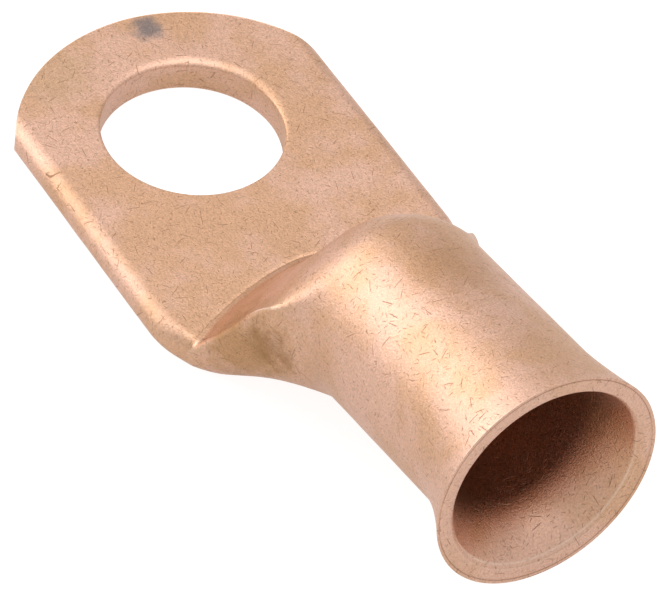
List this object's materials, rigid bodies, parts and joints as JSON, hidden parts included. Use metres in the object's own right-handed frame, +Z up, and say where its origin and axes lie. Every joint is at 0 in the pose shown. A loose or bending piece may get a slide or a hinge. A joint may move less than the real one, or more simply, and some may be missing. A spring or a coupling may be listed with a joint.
{
  "type": "cable lug",
  "caption": "Flared copper cable lug: round barrel with a bell mouth, pressed flat at the other end into an offset tongue with a round stud hole.",
  "frame": {"origin": "centre of the stud hole on the underside of the tongue", "axes": "+X from the stud hole to the mouth of the barrel, +Y across the tongue, +Z up through the stud hole"},
  "size_m": [0.0595, 0.025, 0.0194],
  "materials": {
    "copper": "bare copper, matt and lightly tarnished"
  },
  "bodies": {
    "root": {"lug": "copper"}
  },
  "joints": []
}
